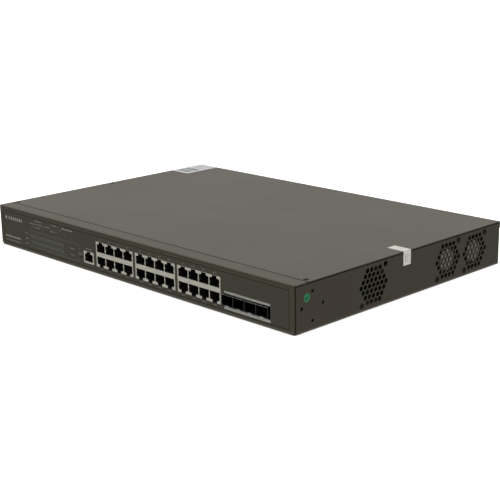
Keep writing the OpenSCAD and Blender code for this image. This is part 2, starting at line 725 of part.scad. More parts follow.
module inlet_leads() color([0.45, 0.28, 0.16]) case_frame() for (k = [-1 : 1]) {
    start = [inlet_u + 7 * k, inlet_back - 6.2, inlet_z + (k == 0 ? 2.5 : -1.5)];
    end = [inlet_u + 6 * k - 10, 250 + 3 * k, psu_top + 1.4];
    lead([start, start + [0, -5, 0], start + [k, -11, -4], end], 1.2);
}

module dc_harness() color([0.70, 0.12, 0.10]) case_frame() for (k = [0 : 3])
    lead([[138.6 + 3.6 * k, 162.8, board_top + 8.5], [138.6 + 3.6 * k, 168, board_top + 12.6],
          [140 + 3.6 * k, 175, board_top + 13], [152 + 3.4 * k, 190, board_top + 10],
          [154 + 3.4 * k, 196, psu_top + 1.4]], 1.1);

// ---------------------------------------------------------------- fans

module fan_frame(v) color(black) case_frame() translate([inner_r - fan_t, v, fan_z]) {
    hub_from = fan_t - fan_face - 2;
    difference() {
        block([0, -fan_size / 2, -fan_size / 2], [fan_t, fan_size / 2, fan_size / 2]);
        along_x([-1, 0, 0], fan_t + 2, fan_bore_r);
        for (a = [45 : 90 : 315])
            rotate([a, 0, 0]) along_x([-1, fan_screw_pitch / 2 * sqrt(2), 0], fan_t + 2, 2.15);
    }
    difference() {
        union() {
            along_x([hub_from, 0, 0], 2, fan_hub_r);
            along_x([hub_from - 12, 0, 0], 12 + eps, tube_r);
            for (a = [45 : 90 : 315]) rotate([a, 0, 0])
                block([hub_from, fan_hub_r - 1, -1.2], [hub_from + 1.8, fan_bore_r + 0.4, 1.2]);
        }
        along_x([hub_from - 13, 0, 0], 13.5, shaft_r + fit);
    }
}

// Cup with seven pitched blades; its shaft runs in the bearing tube of the frame
module fan_rotor(v) color([0.10, 0.10, 0.11]) case_frame() translate([inner_r - fan_t, v, fan_z]) {
    intersection() {
        union() {
            along_x([1, 0, 0], 14.5, rotor_hub_r);
            for (i = [0 : 6]) rotate([i * 360 / 7, 0, 0]) translate([8.2, 0, 0]) rotate([0, 0, 38])
                translate([-7.5, -0.6, rotor_hub_r - 0.8]) cube([15, 1.2, 9]);
        }
        difference() {
            along_x([0.8, 0, 0], 15, rotor_r);
            along_x([2.4, 0, 0], 15, rotor_hub_r - 1.2);
        }
    }
    along_x([2.4 - eps, 0, 0], 12.8, shaft_r);
}

module fan_coils() color([0.70, 0.38, 0.16]) case_frame() for (v = [fan_a_v, fan_b_v])
    translate([inner_r - fan_t, v, fan_z]) difference() {
        for (a = [0, 90]) rotate([a, 0, 0]) block([6.5, -8.6, -2.6], [14.5, 8.6, 2.6]);
        along_x([5, 0, 0], 11, tube_r + fit);
    }

module fan_labels() color([0.80, 0.80, 0.78]) case_frame() for (v = [fan_a_v, fan_b_v])
    along_x([inner_r - fan_face, v, fan_z], 0.1, hub_label_r);

module fan_screws() color(black) case_frame() for (v = [fan_a_v, fan_b_v]) fan_diagonal(v)
    translate([body_w - 0.06, 0, 0]) rotate([0, 90, 0]) flat_screw(3.25, 0.8, 2.1, 13);

module fan_leads() color([0.15, 0.15, 0.16]) case_frame() for (k = [0 : 3]) {
    v = k < 2 ? fan_a_v : fan_b_v;
    side = (k % 2) * 3;
    lead([[inner_r - fan_t - 1, v - 14 + side, 5], [inner_r - fan_t - 5, v - 18 + side, 5 + (k < 2 ? 0 : 3)],
          [(k < 2 ? 404 : 410) + side, 196, 9 + (k < 2 ? 0 : 3)],
          [(k < 2 ? 386.5 : 398.5) + side, 180, board_top + 8.5],
          [(k < 2 ? 386.5 : 398.5) + side, 169, board_top + 7.4]], 0.7);
}

// ---------------------------------------------------------------- screws and labels

module case_screws() color(black) case_frame() {
    each_cover_screw() translate([0, 0, body_h - 0.05]) flat_screw(2.85, 0.85, 1.25, 6);
    for (u = rear_screw_u) translate([u, body_d + sheet, rear_screw_z]) rotate([-90, 0, 0])
        pan_screw(2.7, 1.7, 1.2, 5);
}

module earth_screw() color([0.75, 0.62, 0.30]) case_frame() translate([earth_u, body_d, earth_z])
    rotate([-90, 0, 0]) {
        pan_screw(3.6, 2.6, 1.6, 6);
        difference() {
            cylinder(h = 0.6, r = 4.6);
            translate([0, 0, -1]) cylinder(h = 3, r = 3.4);
        }
    }

// Seal folded over the edge of the cover and down the right wall
module cover_seal() color([0.84, 0.84, 0.80]) case_frame() {
    block([body_w - seal_top, seal_v, body_h], [body_w + label_t, seal_v + seal_w, body_h + label_t]);
    block([body_w, seal_v, body_h - seal_drop], [body_w + label_t, seal_v + seal_w, body_h + label_t]);
}

module inspection_sticker() color([0.22, 0.55, 0.38]) case_frame()
    along_x([body_w, sticker_v, sticker_z], label_t, sticker_r);

module cover_label() color([0.77, 0.77, 0.78]) case_frame()
    block([0.4, body_d - label_d, body_h], [0.4 + label_w, body_d, body_h + label_t]);

// ---------------------------------------------------------------- nodes

base_pan();
side_wall_left();
side_wall_right();
front_wall();
rear_wall();
top_cover();
cover_brackets();
front_film();
rj45_shield(0);  // rj45_shield_a
rj45_shield(1);  // rj45_shield_b
rj45_shield(2);  // rj45_shield_c
rj45_housing(0);  // rj45_housing_a
rj45_housing(1);  // rj45_housing_b
rj45_housing(2);  // rj45_housing_c
console_shield();
console_housing();
rj45_contacts();
sfp_cage();
sfp_gasket();
sfp_connectors();
light_pipes();
lamp_board();
lamps();
reset_switch();
reset_button();
main_board();
board_standoffs();
board_screws();
switch_chip();
port_chips();
memory_chips();
switch_heat_sink();
port_heat_sinks();
board_capacitors();
board_inductors();
board_headers();
psu_board();
psu_insulator();
psu_transformer();
psu_capacitors();
psu_heat_sinks();
psu_choke();
mains_inlet();
inlet_pins();
inlet_leads();
dc_harness();
fan_frame(fan_a_v);  // fan_frame_a
fan_frame(fan_b_v);  // fan_frame_b
fan_rotor(fan_a_v);  // fan_rotor_a
fan_rotor(fan_b_v);  // fan_rotor_b
fan_coils();
fan_labels();
fan_screws();
fan_leads();
case_screws();
earth_screw();
cover_seal();
inspection_sticker();
cover_label();
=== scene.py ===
import math
import random

import bmesh
import bpy
from mathutils import Matrix, Vector


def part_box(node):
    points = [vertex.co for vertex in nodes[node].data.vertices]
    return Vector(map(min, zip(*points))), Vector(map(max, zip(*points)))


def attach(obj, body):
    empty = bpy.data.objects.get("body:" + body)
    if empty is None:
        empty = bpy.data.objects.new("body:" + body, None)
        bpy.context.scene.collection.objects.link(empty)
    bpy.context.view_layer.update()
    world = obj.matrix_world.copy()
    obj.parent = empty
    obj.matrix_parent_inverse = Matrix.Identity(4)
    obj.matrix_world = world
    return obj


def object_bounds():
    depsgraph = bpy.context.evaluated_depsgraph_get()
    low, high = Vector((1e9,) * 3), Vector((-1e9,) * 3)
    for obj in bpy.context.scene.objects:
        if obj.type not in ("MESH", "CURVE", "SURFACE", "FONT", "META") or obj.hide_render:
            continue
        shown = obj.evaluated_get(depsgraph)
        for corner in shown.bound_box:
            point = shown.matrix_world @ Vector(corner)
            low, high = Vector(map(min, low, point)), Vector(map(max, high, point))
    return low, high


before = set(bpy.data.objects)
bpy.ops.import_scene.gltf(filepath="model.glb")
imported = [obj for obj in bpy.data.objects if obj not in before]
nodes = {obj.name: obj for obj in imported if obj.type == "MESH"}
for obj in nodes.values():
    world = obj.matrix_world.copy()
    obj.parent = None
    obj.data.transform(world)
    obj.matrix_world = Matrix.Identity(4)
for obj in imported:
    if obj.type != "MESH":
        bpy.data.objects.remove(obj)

cad_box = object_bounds()
scene = bpy.context.scene
MM = 0.001
INK_T = 0.02 * MM                       # how far printing stands above what it is printed on

# ------------------------------------------------------------------ places, all taken from the CAD

case_lo, case_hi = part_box("front_wall")
film_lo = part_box("front_film")[0]
cage_lo, cage_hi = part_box("sfp_cage")
rear_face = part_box("rear_wall")[1].y
cover_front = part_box("top_cover")[0].y
case_top = case_hi.z
under_cover = case_top - 1 * MM         # underside of the cover's flat sheet
BLOCKS = ["rj45_shield_a", "rj45_shield_b", "rj45_shield_c"]
PORT_PITCH = 13.97 * MM
LAMP_COLUMNS = 14
LAMP_PITCH = 4.3 * MM
FIRST_LAMP = 57 * MM                    # from the left face of the case


def from_left(u):
    """X of a place that is u millimetres from the left face of the case."""
    return case_lo.x + u * MM


# ------------------------------------------------------------------ camera, floor and light

VIEW_FROM = (46.132, 15.429, -1.086)    # azimuth from the front, elevation and roll, in degrees
VIEW_AT = Vector((57.443, -40.563, 22)) * MM
VIEW_DISTANCE = 1.12944
LENS = 83.05                            # focal length in mm, on a sensor 36 mm wide


def aim(azimuth, elevation, roll):
    """Right, up and backward directions of a camera that stands at an azimuth and elevation, in degrees."""
    a, e, r = (math.radians(x) for x in (azimuth, elevation, roll))
    back = Vector((math.sin(a) * math.cos(e), -math.cos(a) * math.cos(e), math.sin(e)))
    right = Vector((math.cos(a), math.sin(a), 0))
    up = back.cross(right)
    tilted = right * math.cos(r) + up * math.sin(r)
    return tilted, back.cross(tilted), back


def make_camera():
    right, up, back = aim(*VIEW_FROM)
    data = bpy.data.cameras.new("camera")
    data.lens = LENS
    data.sensor_width = 36
    data.clip_start = 0.01
    data.clip_end = 50
    camera = bpy.data.objects.new("camera", data)
    scene.collection.objects.link(camera)
    turn = Matrix((right, up, back)).transposed().to_4x4()
    camera.matrix_world = Matrix.Translation(VIEW_AT + back * VIEW_DISTANCE) @ turn
    scene.camera = camera


def make_floor():
    """A wide white floor. It shows and takes shadows, and throws no light back up at the dark case."""
    bpy.ops.mesh.primitive_plane_add(size=40)
    floor = bpy.context.object
    floor.name = "floor"
    floor.location = (0, 0, cad_box[0][2] - 0.05 * MM)
    floor.visible_diffuse = False
    floor.visible_glossy = False
    g = Graph("studio_floor")
    g.colour(g.noise(3, 2), (0.93, 0.93, 0.925), (0.95, 0.95, 0.95))
    g.set("Roughness", 0.9)
    g.set("Specular IOR Level", 0.1)
    g.set("Emission Color", (1, 1, 1, 1))
    g.set("Emission Strength", 0.5)
    floor.data.materials.append(g.material)


# How light the world is, from straight below (0) over the horizon (0.5) to straight above (1)
SKY = [(0.0, 1.1), (0.12, 0.9), (0.22, 0.3), (0.40, 0.22), (0.5, 0.38), (0.6, 0.60), (0.78, 0.85), (1.0, 0.9)]


def make_world():
    """Soft light: bright from above and below, dim near the horizon, and the same all the way round."""
    world = bpy.data.worlds.new("studio")
    scene.world = world
    world.use_nodes = True
    tree = world.node_tree
    place = tree.nodes.new("ShaderNodeTexCoord")
    split = tree.nodes.new("ShaderNodeSeparateXYZ")
    height = tree.nodes.new("ShaderNodeMapRange")
    height.inputs["From Min"].default_value = -1
    ramp = tree.nodes.new("ShaderNodeValToRGB")
    stops = ramp.color_ramp.elements
    while len(stops) < len(SKY):
        stops.new(0.5)
    for stop, (position, grey) in zip(stops, SKY):
        stop.position = position
        stop.color = (grey, grey, grey, 1)
    background = tree.nodes["Background"]
    background.inputs["Strength"].default_value = 1.1
    tree.links.new(place.outputs["Generated"], split.inputs[0])
    tree.links.new(split.outputs["Z"], height.inputs["Value"])
    tree.links.new(height.outputs[0], ramp.inputs[0])
    tree.links.new(ramp.outputs[0], background.inputs["Color"])


def make_softbox():
    """A wide softbox high above the rear left corner, aimed at the origin."""
    data = bpy.data.lights.new("softbox_top", "AREA")
    data.shape = "RECTANGLE"
    data.size = 2.4
    data.size_y = 1.8
    data.energy = 12
    softbox = bpy.data.objects.new("softbox_top", data)
    scene.collection.objects.link(softbox)
    softbox.location = (-0.5, 0.5, 1.9)
    softbox.rotation_euler = softbox.location.to_track_quat("Z", "Y").to_euler()


# ------------------------------------------------------------------ material building blocks

class Graph:
    """A node material around one Principled shader, with short names for the nodes used here."""

    def __init__(self, name):
        self.material = bpy.data.materials.new(name)
        self.material.use_nodes = True
        self.tree = self.material.node_tree
        self.shader = self.tree.nodes["Principled BSDF"]
        self.place = self.node("ShaderNodeTexCoord").outputs["Object"]

    def node(self, kind, **settings):
        made = self.tree.nodes.new(kind)
        for key, value in settings.items():
            setattr(made, key, value)
        return made

    def join(self, output, socket):
        self.tree.links.new(output, socket)

    def set(self, socket, value):
        self.shader.inputs[socket].default_value = value

    def stretched(self, scale):
        """The place, scaled by a different amount along each axis."""
        mapping = self.node("ShaderNodeMapping")
        mapping.inputs["Scale"].default_value = scale
        self.join(self.place, mapping.inputs["Vector"])
        return mapping.outputs[0]

    def noise(self, scale, detail=3, stretch=None, rough=0.5):
        made = self.node("ShaderNodeTexNoise")
        made.inputs["Scale"].default_value = scale
        made.inputs["Detail"].default_value = detail
        made.inputs["Roughness"].default_value = rough
        self.join(self.stretched(stretch) if stretch else self.place, made.inputs["Vector"])
        return made.outputs["Fac"]

    def cells(self, scale, stretch=None):
        made = self.node("ShaderNodeTexVoronoi", feature="F1")
        made.inputs["Scale"].default_value = scale
        self.join(self.stretched(stretch) if stretch else self.place, made.inputs["Vector"])
        return made.outputs["Distance"]

    def bands(self, scale, direction="X", distortion=0.0):
        made = self.node("ShaderNodeTexWave", wave_type="BANDS", bands_direction=direction)
        made.inputs["Scale"].default_value = scale
        made.inputs["Distortion"].default_value = distortion
        self.join(self.place, made.inputs["Vector"])
        return made.outputs["Fac"]

    def axis(self, name):
        """X, Y or Z of the place."""
        split = self.node("ShaderNodeSeparateXYZ")
        self.join(self.place, split.inputs[0])
        return split.outputs[name]

    def between(self, value, low, high, to_low=0.0, to_high=1.0):
        """Maps a value from low..high to to_low..to_high, smoothly and clamped."""
        made = self.node("ShaderNodeMapRange", interpolation_type="SMOOTHSTEP")
        for key, number in zip(("From Min", "From Max", "To Min", "To Max"), (low, high, to_low, to_high)):
            made.inputs[key].default_value = number
        self.join(value, made.inputs["Value"])
        return made.outputs[0]

    def inside(self, value, low, high):
        """1 where a value lies between low and high, and 0 outside."""
        above = self.calc("GREATER_THAN", value, low)
        return self.calc("MULTIPLY", above, self.calc("LESS_THAN", value, high))

    def calc(self, operation, a, b):
        made = self.node("ShaderNodeMath", operation=operation)
        for socket, value in zip(made.inputs, (a, b)):
            if isinstance(value, (int, float)):
                socket.default_value = value
            else:
                self.join(value, socket)
        return made.outputs[0]

    def mix(self, share, a, b):
        """Colour a where share is 0 and b where it is 1. Each is a colour or another node's output."""
        made = self.node("ShaderNodeMix", data_type="RGBA")
        if isinstance(share, (int, float)):
            made.inputs[0].default_value = share
        else:
            self.join(share, made.inputs[0])
        for socket, value in zip((made.inputs[6], made.inputs[7]), (a, b)):
            if isinstance(value, tuple):
                socket.default_value = (*value, 1)
            else:
                self.join(value, socket)
        return made.outputs[2]

    def colour(self, share, a, b):
        """Gives the shader a colour between a and b."""
        self.join(self.mix(share, a, b), self.shader.inputs["Base Color"])

    def roughness(self, value, low, high):
        """Roughness that follows a value from low to high."""
        self.join(self.between(value, 0.3, 0.7, low, high), self.shader.inputs["Roughness"])

    def bump(self, height, strength, distance):
        made = self.node("ShaderNodeBump")
        made.inputs["Strength"].default_value = strength
        made.inputs["Distance"].default_value = distance
        self.join(height, made.inputs["Height"])
        self.join(made.outputs[0], self.shader.inputs["Normal"])


def shade(tint, factor):
    """A tint made darker or lighter."""
    return tuple(min(1.0, c * factor) for c in tint)


def near_edge(g, low, high, width):
    """1 along the outer edges of a box, where the place is within width of two of its faces, and 0 inside."""
    sides = []
    for name, lo, hi in zip("XYZ", low, high):
        value = g.axis(name)
        gap_low = g.calc("SUBTRACT", value, lo)
        gap_high = g.calc("SUBTRACT", hi, value)
        gap = g.calc("MINIMUM", gap_low, gap_high)
        sides.append(g.between(gap, 0, width, 1, 0))
    xy = g.calc("MULTIPLY", sides[0], sides[1])
    yz = g.calc("MULTIPLY", sides[1], sides[2])
    zx = g.calc("MULTIPLY", sides[2], sides[0])
    return g.calc("MAXIMUM", g.calc("MAXIMUM", xy, yz), zx)


# ------------------------------------------------------------------ materials, one function each

NICKEL = (0.84, 0.82, 0.70)
BRONZE = (0.056, 0.047, 0.032)
# Painted light: the front wall gets its own copy of the bronze, tuned apart from the cover's to suit how its
# strip and face are lit
FRONT_BRONZE = (0.057, 0.050, 0.0345)
# Painted reflection of the white floor, lightening the foot of the case
FLOOR_LIT_FOOT = (0.21, 0.20, 0.175)


def powder_coat(name, tint, gloss, painted_shade):
    """Bronze-grey textured powder coat, with painted light: lighter on the front face, a painted reflection
    of the floor along the foot, and lighter patches along the outer edges, partly wear and partly a painted
    highlight. Its last argument, called with g, gives the share of painted shade in the seams."""
    g = Graph(name)
    grain = g.noise(1900, 4, rough=0.6)
    clouds = g.noise(14, 3)
    body = g.mix(clouds, shade(tint, 0.97), shade(tint, 1.03))
    speck = g.mix(g.between(grain, 0.35, 0.7), shade(tint, 0.86), shade(tint, 1.12))
    base = g.mix(0.45, body, speck)
    # Painted light: the front face is lightened to 1.3 times the tint
    face = g.between(g.axis("Y"), case_lo.y + 0.1 * MM, case_lo.y + 0.3 * MM, 0.8, 0)
    faced = g.mix(face, base, shade(tint, 1.3))
    # Painted reflection of the floor: lighter over the bottom 2.5 mm
    foot = g.between(g.axis("Z"), case_lo.z + 0.5 * MM, case_lo.z + 2.5 * MM, 0.7, 0)
    footed = g.mix(foot, faced, FLOOR_LIT_FOOT)
    # Lighter patches along the outer edges: partly wear, partly a painted highlight
    patches = g.between(g.noise(90, 4), 0.42, 0.62)
    lightened_patches = g.calc("MULTIPLY", near_edge(g, case_lo, cad_box[1], 0.9 * MM), patches)
    edge_lightened = g.mix(g.calc("MULTIPLY", lightened_patches, 0.25), footed, shade(tint, 1.5))
    # Painted shade: the seams darken to 0.12 of the tint
    g.colour(painted_shade(g), edge_lightened, shade(tint, 0.12))
    g.roughness(clouds, 0.48, 0.53)
    g.set("IOR", gloss)
    g.set("Specular Tint", (1.0, 0.95, 0.86, 1))
    g.bump(grain, 0.22, 0.06 * MM)
    return g.material


def seam_shade(g):
    """Painted shade in the seams of the walls and the cover: under the cover's edge, along the front wall,
    and across the top behind the front strip."""
    under_reach = 1.3 * MM
    front_reach = 1.9 * MM
    across_reach = 0.75 * MM
    z = g.axis("Z")
    y = g.axis("Y")
    before_rear = g.inside(y, case_lo.y, rear_face - 0.5 * MM)
    below_edge = g.inside(z, under_cover - under_reach, under_cover + 0.05 * MM)
    under_edge = g.calc("MULTIPLY", below_edge, before_rear)
    at_front = g.calc("MULTIPLY", g.inside(y, case_lo.y, case_lo.y + front_reach), 0.4)
    on_top = g.inside(z, under_cover - 0.1 * MM, case_top + 1 * MM)
    behind_strip = g.inside(y, case_hi.y - 0.3 * MM, cover_front + across_reach)
    across = g.calc("MULTIPLY", behind_strip, on_top)
    return g.calc("MAXIMUM", g.calc("MAXIMUM", under_edge, at_front), across)


def front_shade(g):
    """Painted shade at the rear edge of the front strip and in the groove around the film, and a painted
    shadow line under the top fold.
    """
    z = g.axis("Z")
    y = g.axis("Y")
    below_fold = g.inside(z, case_lo.z - 1 * MM, case_top - 2 * MM)
    recess = g.calc("MULTIPLY", g.inside(y, case_lo.y + 0.25 * MM, case_lo.y + 3 * MM), below_fold)
    strip_end = g.inside(y, case_hi.y - 0.5 * MM, case_hi.y + 1 * MM)
    fold_line = g.calc("MULTIPLY", g.inside(z, case_top - 1.9 * MM, case_top - 1.15 * MM), 0.55)
    on_face = g.inside(y, case_lo.y - 1 * MM, case_lo.y + 1.1 * MM)
    under_fold = g.calc("MULTIPLY", fold_line, on_face)
    return g.calc("MAXIMUM", g.calc("MAXIMUM", recess, strip_end), under_fold)


def film():
    """Printed polyester film with a fine matt texture."""
    tint = (0.061, 0.0555, 0.038)
    g = Graph("film")
    grain = g.noise(5200, 3)
    clouds = g.noise(22, 3)
    body = g.mix(clouds, shade(tint, 0.95), shade(tint, 1.05))
    g.colour(g.between(grain, 0.3, 0.75, 0, 0.5), body, shade(tint, 1.14))
    g.roughness(clouds, 0.42, 0.50)
    g.set("IOR", 1.42)
    g.bump(grain, 0.12, 0.02 * MM)
    return g.material


def rolled_metal(name, tint, rough, streak_scale, mouth=None, reach=1.0, inside=0.05, rim=None):
    """Rolled or plated sheet metal with fine streaks along X. Behind a mouth, at a Y, painted shade darkens
    it to a share called inside of its brightness, over reach millimetres. Just under a rim, at a Z, it has a
    painted highlight in broken patches."""
    g = Graph(name)
    streaks = g.noise(1, 3, stretch=(streak_scale * 0.08, streak_scale, streak_scale))
    blotches = g.noise(160, 4)
    body = g.mix(g.between(streaks, 0.3, 0.7), shade(tint, 0.90), shade(tint, 1.04))
    base = g.mix(g.between(blotches, 0.55, 0.75, 0, 0.35), body, shade(tint, 0.82))
    if rim is not None:
        # Painted highlight under the rim, broken along X
        lightened_patches = g.between(g.noise(1, 2, stretch=(520, 1, 1)), 0.42, 0.58, 0.2, 1)
        under_rim = g.inside(g.axis("Z"), rim - 0.55 * MM, rim)
        base = g.mix(g.calc("MULTIPLY", lightened_patches, under_rim), base, shade(tint, 4.5))
    if mouth is not None:
        # Painted shade behind the mouth
        depth = g.between(g.axis("Y"), mouth, mouth + reach * MM)
        base = g.mix(depth, base, shade(tint, inside))
    g.join(base, g.shader.inputs["Base Color"])
    g.set("Metallic", 0.7)
    g.roughness(streaks, rough - 0.06, rough + 0.08)
    g.bump(streaks, 0.15, 0.02 * MM)
    return g.material


def gasket_strip():
    """Bright strips around the cage mouth. Behind the front face they are in the dark, and the spring
    fingers above the cage catch a little light."""
    tint = (0.585, 0.585, 0.54)
    g = Graph("gasket_strip")
    streaks = g.noise(1, 3, stretch=(90, 1100, 1100))
    blotches = g.noise(700, 4)
    body = g.mix(g.between(streaks, 0.3, 0.7), shade(tint, 0.90), shade(tint, 1.04))
    spotted = g.mix(g.between(blotches, 0.42, 0.62, 0, 0.7), body, shade(tint, 0.6))
    spring = g.calc("MULTIPLY", g.inside(g.axis("X"), cage_lo.x, cage_hi.x - 0.6 * MM),
                    g.inside(g.axis("Z"), cage_hi.z + 0.1 * MM, case_top))
    catch = g.between(g.noise(1, 1, stretch=(420, 1, 1)), 0.42, 0.58, 0.35, 1)
    hidden = g.mix(g.calc("MULTIPLY", spring, catch), shade(tint, 0.10), shade(tint, 1.5))
    depth = g.between(g.axis("Y"), case_lo.y + 0.1 * MM, case_lo.y + 0.5 * MM)
    g.colour(depth, spotted, hidden)
    g.set("Metallic", 0.6)
    g.roughness(streaks, 0.44, 0.58)
    g.bump(blotches, 0.3, 0.05 * MM)
    return g.material


def moulded(name, tint, rough=0.5, grain=2600, clear=0.0):
    """Moulded plastic with a fine spark-eroded grain and faint flow marks."""
    g = Graph(name)
    fine = g.noise(grain, 3)
    flow = g.noise(45, 3, stretch=(1, 1, 2.4))
    body = g.mix(flow, shade(tint, 0.88), shade(tint, 1.1))
    g.colour(g.between(fine, 0.4, 0.7, 0, 0.4), body, shade(tint, 1.25))
    g.roughness(flow, rough - 0.06, rough + 0.06)
    g.set("Transmission Weight", clear)
    g.bump(fine, 0.12, 0.03 * MM)
    return g.material


def gold_plate():
    """Gold plating on the contacts, worn in places."""
    g = Graph("gold_plate")
    wear = g.noise(900, 4)
    g.colour(g.between(wear, 0.45, 0.7), (0.86, 0.66, 0.27), (0.74, 0.52, 0.20))
    g.set("Metallic", 1.0)
    g.roughness(wear, 0.22, 0.34)
    g.bump(wear, 0.05, 0.01 * MM)
    return g.material


def laminate(name, tint, copper):
    """Circuit board: solder mask over copper tracks, with rows of vias."""
    g = Graph(name)
    tracks = g.cells(160, stretch=(1, 1, 0.01))
    weave = g.noise(1400, 2, stretch=(1, 3, 1))
    body = g.mix(weave, shade(tint, 0.85), shade(tint, 1.1))
    with_copper = g.mix(g.between(tracks, 0.32, 0.40), body, copper)
    vias = g.between(g.cells(420, stretch=(1, 1, 0.01)), 0.0, 0.16, 1, 0)
    g.colour(vias, with_copper, shade(copper, 1.9))
    g.roughness(weave, 0.28, 0.4)
    g.bump(tracks, 0.2, 0.03 * MM)
    return g.material


def chip_epoxy():
    """Black epoxy of chip packages, finely grained."""
    g = Graph("chip_epoxy")
    fine = g.noise(3200, 4)
    g.colour(g.between(fine, 0.35, 0.7), (0.020, 0.020, 0.021), (0.046, 0.046, 0.048))
    g.roughness(fine, 0.48, 0.62)
    g.bump(fine, 0.25, 0.03 * MM)
    return g.material


def extruded_aluminium():
    """Heat sinks with drawing lines and a little oxide."""
    g = Graph("extruded_aluminium")
    lines = g.noise(1, 2, stretch=(2400, 60, 2400))
    oxide = g.noise(120, 4)
    body = g.mix(g.between(lines, 0.3, 0.7), (0.56, 0.57, 0.58), (0.70, 0.71, 0.72))
    g.colour(g.between(oxide, 0.5, 0.72, 0, 0.5), body, (0.47, 0.48, 0.49))
    g.set("Metallic", 0.95)
    g.roughness(lines, 0.3, 0.46)
    g.bump(lines, 0.18, 0.02 * MM)
    return g.material


def shrink_sleeve():
    """Printed sleeve of a can capacitor, with a pale stripe."""
    g = Graph("shrink_sleeve")
    stripe = g.between(g.bands(26, "DIAGONAL"), 0.86, 0.92)
    fine = g.noise(1500, 3)
    body = g.mix(fine, (0.018, 0.022, 0.070), (0.030, 0.036, 0.100))
    g.colour(stripe, body, (0.42, 0.43, 0.46))
    g.roughness(fine, 0.26, 0.36)
    g.bump(fine, 0.08, 0.02 * MM)
    return g.material


def wound(name, tint, scale, direction, metallic):
    """Turns of wire or tape, as fine ridges with a little variation from turn to turn."""
    g = Graph(name)
    turns = g.bands(scale, direction, 0.6)
    lots = g.noise(240, 3)
    body = g.mix(turns, shade(tint, 0.62), shade(tint, 1.12))
    g.colour(g.between(lots, 0.4, 0.7, 0, 0.4), body, shade(tint, 0.75))
    g.set("Metallic", metallic)
    g.roughness(lots, 0.3, 0.44)
    g.bump(turns, 0.6, 0.15 * MM)
    return g.material


def sleeve_of_lead():
    """Black and red insulation in patches, with a little dust."""
    g = Graph("sleeve_of_lead")
    patch = g.between(g.noise(60, 1), 0.45, 0.55)
    body = g.mix(patch, (0.030, 0.030, 0.032), (0.36, 0.035, 0.030))
    fine = g.noise(900, 3)
    g.colour(g.between(fine, 0.4, 0.7, 0, 0.3), body, (0.10, 0.09, 0.09))
    g.roughness(fine, 0.34, 0.46)
    g.bump(fine, 0.08, 0.03 * MM)
    return g.material


def printed_paper(name, tint, dirt, hanging_lit=None):
    """Coated label paper with faint fibres and a little dust. hanging is a lighter tint, painted light, for
    the part that is folded down over the edge of the cover."""
    g = Graph(name)
    fibres = g.noise(1, 4, stretch=(900, 1700, 1300))
    dust = g.noise(260, 4)
    body = g.mix(g.between(fibres, 0.3, 0.7), shade(tint, 0.95), shade(tint, 1.03))
    paper = g.mix(g.between(dust, 0.56, 0.74, 0, dirt), body, shade(tint, 0.78))
    # Painted light: the folded-down part is given a lighter tint
    if hanging_lit is not None:
        fold = g.between(g.axis("Z"), case_top - 0.6 * MM, case_top - 0.1 * MM, 0.9, 0)
        paper = g.mix(fold, paper, hanging_lit)
    g.join(paper, g.shader.inputs["Base Color"])
    g.roughness(fibres, 0.44, 0.56)
    g.bump(fibres, 0.1, 0.02 * MM)
    return g.material


def foil_sticker():
    """Green foil, slightly cloudy."""
    g = Graph("foil_sticker")
    fine = g.noise(2200, 3)
    clouds = g.noise(300, 3)
    body = g.mix(clouds, (0.024, 0.270, 0.110), (0.034, 0.340, 0.145))
    g.colour(g.between(fine, 0.45, 0.7, 0, 0.4), body, (0.05, 0.40, 0.19))
    g.roughness(clouds, 0.32, 0.42)
    g.bump(fine, 0.08, 0.02 * MM)
    return g.material


def black_screw():
    """Black oxide steel, polished where the driver has turned it."""
    g = Graph("black_screw")
    turned = g.cells(900)
    oil = g.noise(400, 4)
    body = g.mix(oil, (0.009, 0.008, 0.006), (0.020, 0.017, 0.013))
    g.colour(g.between(turned, 0.5, 0.75, 0, 0.5), body, (0.05, 0.044, 0.036))
    g.set("Specular IOR Level", 0.12)
    g.roughness(oil, 0.55, 0.7)
    g.bump(oil, 0.15, 0.03 * MM)
    return g.material


def brass():
    """Brass with some tarnish."""
    g = Graph("brass")
    tarnish = g.noise(500, 4)
    g.colour(g.between(tarnish, 0.4, 0.7), (0.72, 0.56, 0.26), (0.50, 0.38, 0.18))
    g.set("Metallic", 1.0)
    g.roughness(tarnish, 0.28, 0.46)
    g.bump(tarnish, 0.1, 0.02 * MM)
    return g.material


def ink(name, tint):
    """Screen-printed ink, slightly uneven in how well it covers."""
    g = Graph(name)
    cover = g.noise(2600, 3)
    g.colour(g.between(cover, 0.3, 0.7), shade(tint, 0.86), shade(tint, 1.05))
    g.roughness(cover, 0.5, 0.62)
    g.bump(cover, 0.06, 0.01 * MM)
    return g.material


